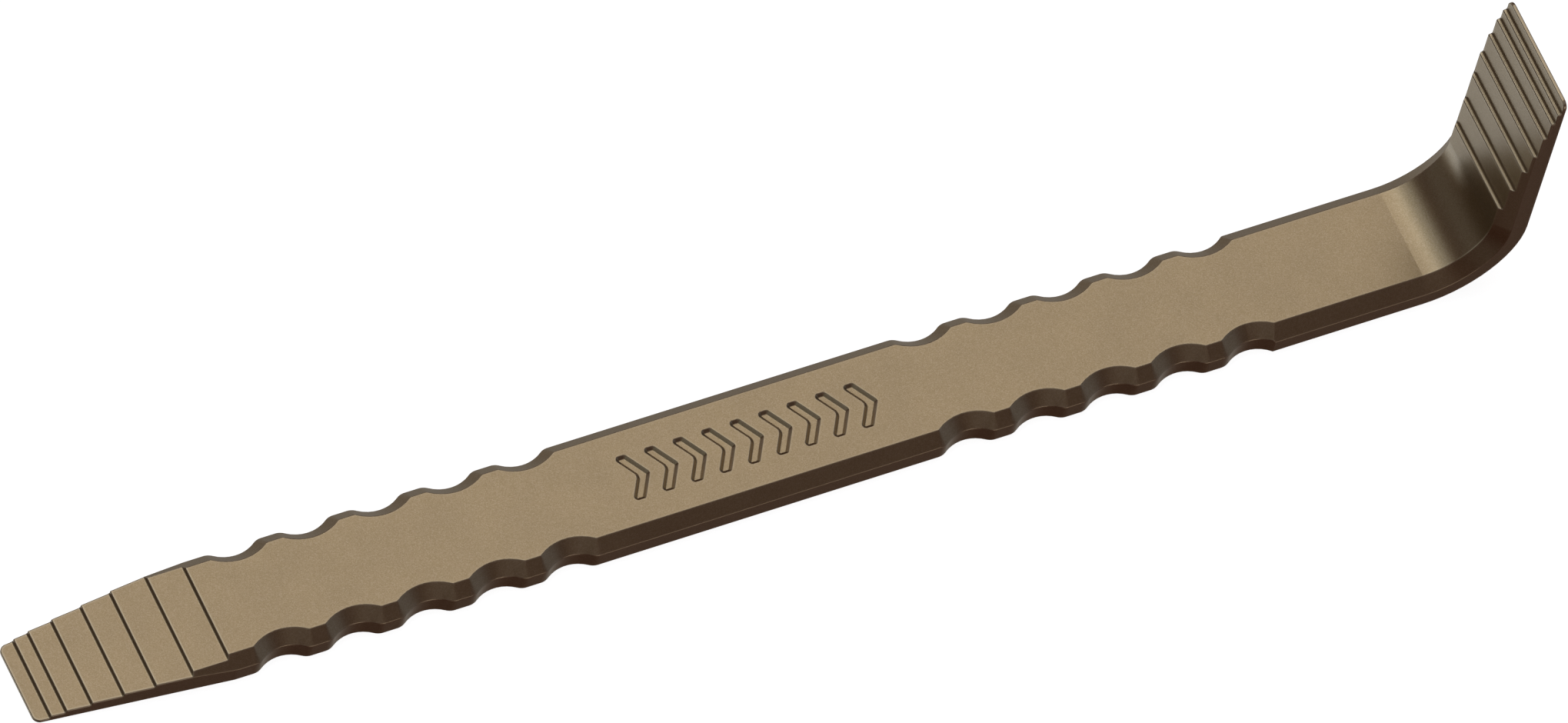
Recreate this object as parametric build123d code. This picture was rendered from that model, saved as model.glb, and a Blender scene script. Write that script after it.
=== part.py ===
from build123d import *
import math
import os

# One-piece flat pry bar: a bar of flat stock with a stepped chisel blade at one end and,
# past a 90 degree bend, a stepped adze blade at the other.
# Frame: origin at the bottom centre of the whole bar, +X along the bar to the bend,
# +Y across it, +Z up, the way the adze blade points when the bar lies on its flat back.

INCH = 25.4

# Stock and overall size
LENGTH = 12.38 * INCH
WIDTH = 1.0 * INCH
THICKNESS = 0.25 * INCH
HOOK_HEIGHT = 2.525 * INCH
BEND_INNER_RADIUS = 0.5 * INCH
BEND_OUTER_RADIUS = BEND_INNER_RADIUS + THICKNESS
EDGE_RADIUS = 0.2

# 45 degree bevels along the upper long edges
GRIP_BEVEL = 0.10 * INCH
HOOK_BEVEL = 0.11 * INCH

# Stepped blades: seven risers, each as high as the tip is thick
RISER = THICKNESS / 8
RISERS_FROM_TIP = [d * INCH for d in (0.125, 0.245, 0.445, 0.695, 0.945, 1.245, 1.545)]
ROOT_RADIUS = INCH / 64
LIP_RADIUS = 0.3
TIP_CORNER_RADIUS = INCH / 16

# Chisel blade seen from above
TAPER_LENGTH = 1.6 * INCH
TAPER_ANGLE = 5.5

# Finger grooves along both long edges
GROOVE_RADIUS = 0.3 * INCH
GROOVE_DEPTH = 0.075 * INCH
SHOULDER_RADIUS = 0.125 * INCH
GROOVE_PITCH = 0.6 * INCH
GROOVES_PER_GROUP = 5
FIRST_GROOVES = (1.995 * INCH, 7.745 * INCH)

# Engraved band: a row of chevrons with sloping walls between the two groups of grooves
CHEVRON_COUNT = 9
CHEVRON_PITCH = 0.24 * INCH
CHEVRON_HEIGHT = 0.42 * INCH
CHEVRON_STROKE = 0.13 * INCH
CHEVRON_LEAN = 0.13 * INCH
CHEVRON_CORNER = 1.0
CHEVRON_CENTRE = 6.1 * INCH
ENGRAVING_DEPTH = 0.024 * INCH
ENGRAVING_WALL = 0.85
ENGRAVING_ROOT = 0.2

# Worked out from the above
X_TIP = -LENGTH / 2
X_BACK = LENGTH / 2
EDGE = WIDTH / 2
GROOVES = [X_TIP + first + i * GROOVE_PITCH for first in FIRST_GROOVES for i in range(GROOVES_PER_GROUP)]
X_GRIP_END = GROOVES[-1]
MARGIN = 1.0
SHARP = 20


def sharp_edges(solid):
    """The edges where two faces meet at more than SHARP degrees."""
    meeting = {}
    for face in solid.faces():
        for edge in face.edges():
            meeting.setdefault(edge, []).append(face)
    edges = []
    for edge, faces in meeting.items():
        middle = edge.position_at(0.5)
        normals = [face.normal_at(middle) for face in faces]
        if len(faces) == 2 and normals[0].get_angle(normals[1]) > SHARP:
            edges.append(edge)
    return ShapeList(edges)


def side_solid(corners, radii):
    """A solid of the full width, from its outline seen from the side."""
    outline = Plane.XZ * FilletPolyline(*corners, radius=radii, close=True)
    return extrude(make_face(outline), EDGE, both=True)


def stairs(place):
    """Corners and radii of a stepped blade's face, tip first. place(distance, height)
    turns a distance from the tip and a height above the back into a point."""
    corners = [place(0, RISER)]
    radii = [0]
    for step, distance in enumerate(RISERS_FROM_TIP, start=1):
        corners += [place(distance, step * RISER), place(distance, (step + 1) * RISER)]
        radii += [ROOT_RADIUS, LIP_RADIUS]
    return corners, radii


def stepped_strip():
    """The bent strip with both stepped blades, cut to its outline seen from above and
    from the end, every edge broken. It has no bevels and no finger grooves yet."""
    chisel, chisel_radii = stairs(lambda distance, height: (X_TIP + distance, height))
    adze, adze_radii = stairs(lambda distance, height: (X_BACK - height, HOOK_HEIGHT - distance))
    corners = [(X_TIP, 0), (X_BACK, 0), (X_BACK, HOOK_HEIGHT)] + adze
    radii = [0, BEND_OUTER_RADIUS, 0] + adze_radii
    corners += [(X_BACK - THICKNESS, THICKNESS)] + chisel[::-1]
    radii += [BEND_INNER_RADIUS] + chisel_radii[::-1]
    strip = side_solid(corners, radii)

    half_tip = EDGE - TAPER_LENGTH * math.tan(math.radians(TAPER_ANGLE))
    lower = [(X_TIP, -half_tip), (X_TIP + TAPER_LENGTH, -EDGE), (X_BACK, -EDGE)]
    upper = [(x, -y) for x, y in reversed(lower)]
    radii = [TIP_CORNER_RADIUS, 0, 0, 0, 0, TIP_CORNER_RADIUS]
    from_above = FilletPolyline(*lower, *upper, radius=radii, close=True)

    corners = [(-EDGE, 0), (EDGE, 0), (EDGE, HOOK_HEIGHT), (-EDGE, HOOK_HEIGHT)]
    radii = [0, 0, TIP_CORNER_RADIUS, TIP_CORNER_RADIUS]
    from_end = FilletPolyline(*corners, radius=radii, close=True)

    strip &= extrude(make_face(from_above), HOOK_HEIGHT)
    strip &= extrude(make_face(Plane.YZ.offset(X_TIP) * from_end), LENGTH)
    return fillet(sharp_edges(strip), EDGE_RADIUS)


def groove_path(x, start_x):
    """The lower long edge from start_x through the finger groove centred at x: a line, a
    shoulder arc, the groove up to its deepest point, its other half and shoulder."""
    reach = GROOVE_RADIUS + SHOULDER_RADIUS
    centre_y = -EDGE - GROOVE_RADIUS + GROOVE_DEPTH
    rise = reach - GROOVE_DEPTH
    half = math.sqrt(reach**2 - rise**2)
    touch_x = half * GROOVE_RADIUS / reach
    touch_y = centre_y + rise * GROOVE_RADIUS / reach
    deepest = (x, -EDGE + GROOVE_DEPTH)
    return [
        Line((start_x, -EDGE), (x - half, -EDGE)),
        RadiusArc((x - half, -EDGE), (x - touch_x, touch_y), -SHOULDER_RADIUS),
        RadiusArc((x - touch_x, touch_y), deepest, GROOVE_RADIUS),
        RadiusArc(deepest, (x + touch_x, touch_y), GROOVE_RADIUS),
        RadiusArc((x + touch_x, touch_y), (x + half, -EDGE), -SHOULDER_RADIUS),
    ]


def grip_blank():
    """The bar from the chisel end to the middle of the last groove, beveled, at full
    thickness."""
    lower = []
    x = X_TIP - MARGIN
    for groove in GROOVES:
        lower += groove_path(groove, x)
        x = (lower[-1] @ 1).X
    lower = lower[:-2]
    upper = [edge.mirror(Plane.XZ) for edge in lower]
    ends = [Line(lower[0] @ 0, upper[0] @ 0), Line(lower[-1] @ 1, upper[-1] @ 1)]
    block = extrude(make_face(lower + upper + ends), THICKNESS)
    rim = block.faces().sort_by(Axis.Z)[-1].edges().filter_by(Axis.Y, reverse=True)
    return chamfer(rim, GRIP_BEVEL)


def hook_bevel(side):
    """What the bevel takes off one inner edge of the bend and the adze blade."""
    path = FilletPolyline(
        (X_GRIP_END, 0, THICKNESS),
        (X_BACK - THICKNESS, 0, THICKNESS),
        (X_BACK - THICKNESS, 0, HOOK_HEIGHT + 2 * MARGIN),
        radius=BEND_INNER_RADIUS,
    )
    inner = side * (EDGE - HOOK_BEVEL - MARGIN)
    outer = side * (EDGE + MARGIN)
    corner = Polyline(
        (X_GRIP_END, inner, THICKNESS + MARGIN),
        (X_GRIP_END, outer, THICKNESS - HOOK_BEVEL - MARGIN),
        (X_GRIP_END, outer, THICKNESS + MARGIN),
        close=True,
    )
    return sweep(make_face(corner), path=path)


def last_groove(side):
    """Cutter for the far half of the last groove, flared like the bevel above it."""
    y = side * (EDGE + GROOVE_RADIUS - GROOVE_DEPTH)
    straight = THICKNESS - GRIP_BEVEL
    flare = GRIP_BEVEL + MARGIN
    cutter = Pos(X_GRIP_END, y, straight / 2) * Cylinder(GROOVE_RADIUS, straight)
    cone = Cone(GROOVE_RADIUS, GROOVE_RADIUS + flare, flare)
    return cutter + Pos(X_GRIP_END, y, straight + flare / 2) * cone


def hook_blank():
    """The bar from the middle of the last groove round the bend, at full thickness."""
    top = HOOK_HEIGHT + MARGIN
    corners = [(X_GRIP_END, 0), (X_BACK, 0), (X_BACK, top), (X_BACK - THICKNESS, top)]
    corners += [(X_BACK - THICKNESS, THICKNESS), (X_GRIP_END, THICKNESS)]
    radii = [0, BEND_OUTER_RADIUS, 0, 0, BEND_INNER_RADIUS, 0]
    blank = side_solid(corners, radii)
    for side in (-1, 1):
        blank -= hook_bevel(side)
        blank -= last_groove(side)
    return blank


def beveled_blank():
    blank = grip_blank() + hook_blank()
    edges = sharp_edges(blank)
    ends = edges.group_by(Axis.X)[0] + edges.group_by(Axis.Z)[-1]
    return fillet([edge for edge in edges if edge not in ends], EDGE_RADIUS)


def chevron(x):
    """Cutter for one engraved chevron that points to the bend, with 45 degree walls."""
    half = CHEVRON_HEIGHT / 2
    corners = [
        (x, -half),
        (x + CHEVRON_STROKE, -half),
        (x + CHEVRON_STROKE + CHEVRON_LEAN, 0),
        (x + CHEVRON_STROKE, half),
        (x, half),
        (x + CHEVRON_LEAN, 0),
    ]
    plan = make_face(FilletPolyline(*corners, radius=CHEVRON_CORNER, close=True))
    cutter = Pos(0, 0, THICKNESS - ENGRAVING_DEPTH) * extrude(plan, ENGRAVING_DEPTH + MARGIN)
    cutter = chamfer(cutter.faces().sort_by(Axis.Z)[0].edges(), ENGRAVING_WALL)
    return fillet(cutter.faces().sort_by(Axis.Z)[0].edges(), ENGRAVING_ROOT)


def engraved(bar):
    """The bar with the row of chevrons cut into its top face, their rims broken."""
    row = (CHEVRON_COUNT - 1) * CHEVRON_PITCH + CHEVRON_STROKE + CHEVRON_LEAN
    start = X_TIP + CHEVRON_CENTRE - row / 2
    for i in range(CHEVRON_COUNT):
        bar -= chevron(start + i * CHEVRON_PITCH)
    back_and_top = bar.faces().sort_by(SortBy.AREA)[-2:]
    top = back_and_top.sort_by(Axis.Z)[-1]
    rims = ShapeList(edge for wire in top.inner_wires() for edge in wire.edges())
    return fillet(rims, EDGE_RADIUS)


def pry_bar():
    return engraved(stepped_strip() & beveled_blank())


if __name__ == "__main__":
    bar = pry_bar()
    os.makedirs("parts", exist_ok=True)
    export_step(bar, "parts/pry_bar.step")
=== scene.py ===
import math

import bpy
from mathutils import Matrix, Vector


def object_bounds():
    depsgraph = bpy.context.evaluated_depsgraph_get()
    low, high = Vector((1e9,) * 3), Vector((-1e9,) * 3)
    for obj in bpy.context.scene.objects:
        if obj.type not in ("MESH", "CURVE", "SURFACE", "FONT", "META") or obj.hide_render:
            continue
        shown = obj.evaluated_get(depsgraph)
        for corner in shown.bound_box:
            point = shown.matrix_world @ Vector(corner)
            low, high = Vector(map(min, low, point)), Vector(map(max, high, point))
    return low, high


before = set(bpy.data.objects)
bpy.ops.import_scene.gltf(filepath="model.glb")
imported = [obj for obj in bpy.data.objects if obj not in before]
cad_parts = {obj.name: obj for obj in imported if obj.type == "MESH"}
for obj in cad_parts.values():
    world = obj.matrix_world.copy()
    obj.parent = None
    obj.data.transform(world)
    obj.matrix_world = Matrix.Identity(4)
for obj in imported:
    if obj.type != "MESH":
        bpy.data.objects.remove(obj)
cad_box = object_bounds()
LOW, HIGH = cad_box
LENGTH = HIGH.x - LOW.x

# Camera: a very long lens far away, so that the bar is seen almost without perspective
LENS = 760.0
SENSOR = 36.0
AZIMUTH = math.radians(-38.81255)
ELEVATION = math.radians(57.67246)
ROLL = math.radians(16.74423)
AIM = Vector((0.01143, 0.01401, 0.0060))
FRAME_WIDTH = 0.96142 * LENGTH
DISTANCE = FRAME_WIDTH * LENS / SENSOR

# Coating: a tan metallic paint with fine flakes, baked on over the whole bar
TAN = (0.30, 0.222, 0.126)
ROUGHNESS = 0.36
COAT_WEIGHT = 0.6
COAT_ROUGHNESS = 0.25
ROUGHNESS_SPREAD = 0.015
FLAKE = 0.00019
# Flake shades as (position, brightness, share per channel)
FLAKE_SHADES = (
    (0.0, 0.88, (1.02, 1.0, 0.95)),
    (0.3, 0.965, (1.0, 1.0, 0.97)),
    (0.7, 1.02, (1.0, 1.0, 1.02)),
    (1.0, 1.15, (0.97, 1.0, 1.08)),
)
CLOUD = 0.0011
CLOUD_DARK = (0.985, 0.985, 0.97, 1.0)
CLOUD_LIGHT = (1.015, 1.015, 1.03, 1.0)
MOTTLE = 0.009
# Noise seldom leaves this range, so clouds and mottle are spread over it
NOISE_LOW = 0.3
NOISE_HIGH = 0.7
ORANGE_PEEL = 0.00025
PEEL_HEIGHT = 0.000015
EDGE_ROUNDING = 0.0002
EDGE_SAMPLES = 8

# Painted highlight along the outer edges, a lighter colour for light caught there. Its mask is how
# much of the solid lies within this depth behind the surface, 1 being all of it; then where the
# highlight starts and where it is full
HIGHLIGHT_DEPTH = 0.0006
HIGHLIGHT_START = 0.98
HIGHLIGHT_FULL = 0.84
HIGHLIGHT_SAMPLES = 16
EDGE_HIGHLIGHT = (0.365, 0.29, 0.19)

# Studio: soft patches of light all round, as (azimuth, elevation, radius, soft edge) in degrees
# and colour. Azimuth is from +X towards +Y.
PATCHES = {
    "key": ((64, 63, 16, 9), (1.35, 1.36, 1.32)),
    "overhead": ((133, 70, 16, 10), (0.88, 1.01, 1.08)),
    "front_top": ((-92, 60, 22, 16), (0.33, 0.355, 0.385)),
    "front_low": ((-80, -12, 12, 10), (1.0, 0.98, 0.96)),
    "right": ((-3, 5, 38, 21), (0.19, 0.24, 0.295)),
    "left": ((-168, 8, 10, 42), (0.39, 0.48, 0.51)),
    "back": ((106, 16, 9, 13), (0.6, 0.63, 0.67)),
    "low_back": ((87, -55, 33, 40), (0.29, 0.31, 0.285)),
    "low_left": ((146, -43, 8, 10), (0.88, 1.02, 1.17)),
}
AMBIENT = (0.05, 0.008, 0.001)
BACKDROP = 1.0

# Floor
FLOOR_SIZE = 6.0
FLOOR_GAP = 0.00005
FLOOR_ALBEDO = 0.4
FLOOR_GLOW = 0.9


def link(obj):
    bpy.context.scene.collection.objects.link(obj)
    return obj


class Nodes:
    """Adds shader nodes to one tree and joins their sockets."""

    def __init__(self, tree):
        self.tree = tree
        tree.nodes.clear()

    def add(self, kind, inputs=None, **settings):
        made = self.tree.nodes.new(kind)
        for name, value in settings.items():
            setattr(made, name, value)
        for name, value in (inputs or {}).items():
            if isinstance(value, bpy.types.NodeSocket):
                self.tree.links.new(value, made.inputs[name])
            else:
                made.inputs[name].default_value = value
        return made


def make_camera():
    back = Vector(
        (
            math.sin(AZIMUTH) * math.cos(ELEVATION),
            -math.cos(AZIMUTH) * math.cos(ELEVATION),
            math.sin(ELEVATION),
        )
    )
    data = bpy.data.cameras.new("camera")
    data.lens = LENS
    data.sensor_width = SENSOR
    data.clip_end = 2 * DISTANCE
    camera = link(bpy.data.objects.new("camera", data))
    turn = back.to_track_quat("Z", "Y").to_matrix().to_4x4()
    place = Matrix.Translation(AIM + back * DISTANCE)
    camera.matrix_world = place @ turn @ Matrix.Rotation(ROLL, 4, "Z")
    bpy.context.scene.camera = camera


def level(value, share):
    """The tan colour, made lighter or darker, with a small shift per channel."""
    return tuple(c * value * k for c, k in zip(TAN, share)) + (1.0,)


def ramp(nodes, fac, stops):
    """A colour ramp through the given (position, colour) stops."""
    made = nodes.add("ShaderNodeValToRGB", {"Fac": fac})
    elements = made.color_ramp.elements
    while len(elements) < len(stops):
        elements.new(0.5)
    for element, (position, color) in zip(elements, stops):
        element.position = position
        element.color = color
    return made.outputs["Color"]


def coated_steel():
    material = bpy.data.materials.new("coated_steel")
    material.use_nodes = True
    nodes = Nodes(material.node_tree)
    place = nodes.add("ShaderNodeTexCoord").outputs["Object"]

    flakes = nodes.add("ShaderNodeTexVoronoi", {"Vector": place, "Scale": 1 / FLAKE})
    flake = nodes.add("ShaderNodeSeparateColor", {"Color": flakes.outputs["Color"]})
    cloud = nodes.add("ShaderNodeTexNoise", {"Vector": place, "Scale": 1 / CLOUD, "Detail": 3.0})
    mottle = nodes.add("ShaderNodeTexNoise", {"Vector": place, "Scale": 1 / MOTTLE, "Detail": 4.0})

    grain = ramp(
        nodes,
        flake.outputs["Red"],
        [(position, level(value, share)) for position, value, share in FLAKE_SHADES],
    )
    shade = ramp(
        nodes,
        cloud.outputs["Fac"],
        [(NOISE_LOW, CLOUD_DARK), (NOISE_HIGH, CLOUD_LIGHT)],
    )
    paint = nodes.add(
        "ShaderNodeMix",
        {"Factor": 1.0, 6: grain, 7: shade},
        data_type="RGBA",
        blend_type="MULTIPLY",
    ).outputs[2]

    # Painted highlight along the outer edges: lighter where little of the solid lies close behind the
    # surface
    depth = nodes.add(
        "ShaderNodeAmbientOcclusion",
        {"Distance": HIGHLIGHT_DEPTH},
        samples=HIGHLIGHT_SAMPLES,
        inside=True,
        only_local=True,
    ).outputs["AO"]
    edge_highlight = nodes.add(
        "ShaderNodeMapRange",
        {"Value": depth, "From Min": HIGHLIGHT_START, "From Max": HIGHLIGHT_FULL},
    ).outputs["Result"]
    color = nodes.add(
        "ShaderNodeMix",
        {"Factor": edge_highlight, 6: paint, 7: EDGE_HIGHLIGHT + (1.0,)},
        data_type="RGBA",
    ).outputs[2]

    rough = nodes.add(
        "ShaderNodeMapRange",
        {
            "Value": mottle.outputs["Fac"],
            "From Min": NOISE_LOW,
            "From Max": NOISE_HIGH,
            "To Min": ROUGHNESS - ROUGHNESS_SPREAD,
            "To Max": ROUGHNESS + ROUGHNESS_SPREAD,
        },
    ).outputs["Result"]

    peel = nodes.add("ShaderNodeTexNoise", {"Vector": place, "Scale": 1 / ORANGE_PEEL, "Detail": 2.0})
    rounded = nodes.add(
        "ShaderNodeBevel",
        {"Radius": EDGE_ROUNDING},
        samples=EDGE_SAMPLES,
    ).outputs["Normal"]
    bump = nodes.add(
        "ShaderNodeBump",
        {"Height": peel.outputs["Fac"], "Normal": rounded, "Distance": PEEL_HEIGHT},
    ).outputs["Normal"]

    shader = nodes.add(
        "ShaderNodeBsdfPrincipled",
        {
            "Base Color": color,
            "Metallic": 1.0,
            "Roughness": rough,
            "Normal": bump,
            "Coat Weight": COAT_WEIGHT,
            "Coat Roughness": COAT_ROUGHNESS,
        },
    )
    nodes.add("ShaderNodeOutputMaterial", {"Surface": shader.outputs["BSDF"]})
    return material


def make_floor():
    half = FLOOR_SIZE / 2
    mesh = bpy.data.meshes.new("floor")
    corners = [(-half, -half, 0), (half, -half, 0), (half, half, 0), (-half, half, 0)]
    mesh.from_pydata(corners, [], [(0, 1, 2, 3)])
    floor = link(bpy.data.objects.new("floor", mesh))
    floor.location.z = LOW.z - FLOOR_GAP
    material = bpy.data.materials.new("floor")
    material.use_nodes = True
    nodes = Nodes(material.node_tree)
    shader = nodes.add(
        "ShaderNodeBsdfPrincipled",
        {
            "Base Color": (FLOOR_ALBEDO, FLOOR_ALBEDO, FLOOR_ALBEDO, 1.0),
            "Roughness": 1.0,
            "Specular IOR Level": 0.0,
            "Emission Color": (1.0, 1.0, 1.0, 1.0),
            "Emission Strength": FLOOR_GLOW,
        },
    )
    nodes.add("ShaderNodeOutputMaterial", {"Surface": shader.outputs["BSDF"]})
    mesh.materials.append(material)
    # The bar mirrors the studio below it and not the floor
    floor.visible_glossy = False
    floor.visible_diffuse = False
    floor.visible_shadow = False


def direction(azimuth, elevation):
    a = math.radians(azimuth)
    e = math.radians(elevation)
    return Vector((math.cos(e) * math.cos(a), math.cos(e) * math.sin(a), math.sin(e)))


def make_studio():
    world = bpy.data.worlds.new("studio")
    bpy.context.scene.world = world
    world.use_nodes = True
    nodes = Nodes(world.node_tree)
    place = nodes.add("ShaderNodeTexCoord").outputs["Generated"]
    total = AMBIENT
    for (azimuth, elevation, radius, edge), color in PATCHES.values():
        axis = direction(azimuth, elevation)
        cosine = nodes.add("ShaderNodeVectorMath", {0: place, 1: axis}, operation="DOT_PRODUCT")
        angle = nodes.add("ShaderNodeMath", {0: cosine.outputs["Value"]}, operation="ARCCOSINE")
        patch = nodes.add(
            "ShaderNodeMapRange",
            {
                "Value": angle.outputs["Value"],
                "From Min": math.radians(radius + edge),
                "From Max": math.radians(radius),
            },
            interpolation_type="SMOOTHSTEP",
        )
        total = nodes.add(
            "ShaderNodeVectorMath",
            {0: patch.outputs["Result"], 1: color, 2: total},
            operation="MULTIPLY_ADD",
        ).outputs["Vector"]
    light = nodes.add("ShaderNodeBackground", {"Color": total})
    backdrop = nodes.add("ShaderNodeBackground", {"Strength": BACKDROP, "Color": (1.0, 1.0, 1.0, 1.0)})
    seen = nodes.add("ShaderNodeLightPath").outputs["Is Camera Ray"]
    mixed = nodes.add(
        "ShaderNodeMixShader",
        {0: seen, 1: light.outputs["Background"], 2: backdrop.outputs["Background"]},
    )
    nodes.add("ShaderNodeOutputWorld", {"Surface": mixed.outputs["Shader"]})


make_camera()
make_floor()
make_studio()
coating = coated_steel()
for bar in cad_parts.values():
    bar.data.materials.clear()
    bar.data.materials.append(coating)
bpy.context.scene.view_settings.view_transform = "Standard"
